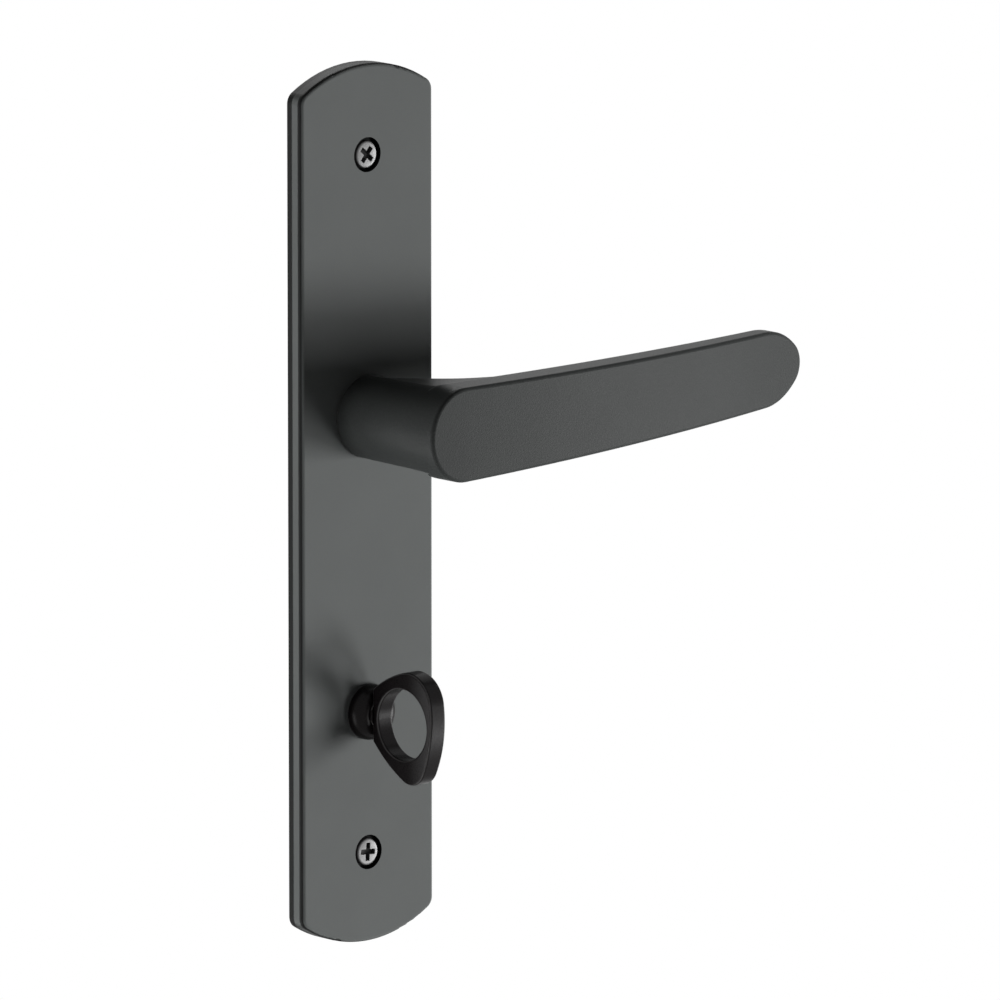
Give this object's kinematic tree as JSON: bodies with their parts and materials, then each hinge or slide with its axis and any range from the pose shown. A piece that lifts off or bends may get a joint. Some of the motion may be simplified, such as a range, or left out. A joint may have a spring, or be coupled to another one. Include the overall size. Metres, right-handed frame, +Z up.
{
  "type": "bathroom door lever set",
  "caption": "Inside half of a bathroom door lever set: long plate with arched ends, sprung lever on a round neck and a ring-shaped privacy thumbturn.",
  "frame": {"origin": "centre of the plate's back face, on the door's surface", "axes": "+X to the lever's free end, +Y into the door, +Z up"},
  "size_m": [0.1459, 0.0583, 0.2076],
  "materials": {
    "anthracite": "satin",
    "black_turn": "satin",
    "black_screw": "satin",
    "nylon": "matte",
    "zinc_plated": "satin",
    "spring_steel": "satin"
  },
  "bodies": {
    "plate": {"backplate": "anthracite", "lever_bush": "nylon", "turn_bush": "nylon", "upper_door_screw": "black_screw", "lower_door_screw": "black_screw", "spring_housing": "zinc_plated", "upper_housing_screw": "zinc_plated", "lower_housing_screw": "zinc_plated", "return_spring": "spring_steel"},
    "lever": {"lever": "anthracite", "lever_spindle": "zinc_plated", "lever_grub_screw": "spring_steel", "spring_driver": "zinc_plated", "lever_thrust_washer": "zinc_plated", "lever_circlip": "spring_steel"},
    "thumbturn": {"thumbturn": "black_turn", "turn_spindle": "zinc_plated", "turn_spring_washer": "spring_steel", "turn_flat_washer": "zinc_plated", "turn_circlip": "spring_steel"}
  },
  "joints": [
    {"name": "lever_press", "type": "hinge", "parent": "plate", "child": "lever", "pos_m": [0, 0, 0.021], "axis": [0, 1, 0], "range_deg": [0, 40], "stiffness_Nm_per_rad": 0.6, "springref_deg": -34.38, "deforming": ["return_spring"]},
    {"name": "thumbturn_turn", "type": "hinge", "parent": "plate", "child": "thumbturn", "pos_m": [0, 0, -0.049], "axis": [0, -1, 0], "range_deg": [0, 90]}
  ]
}
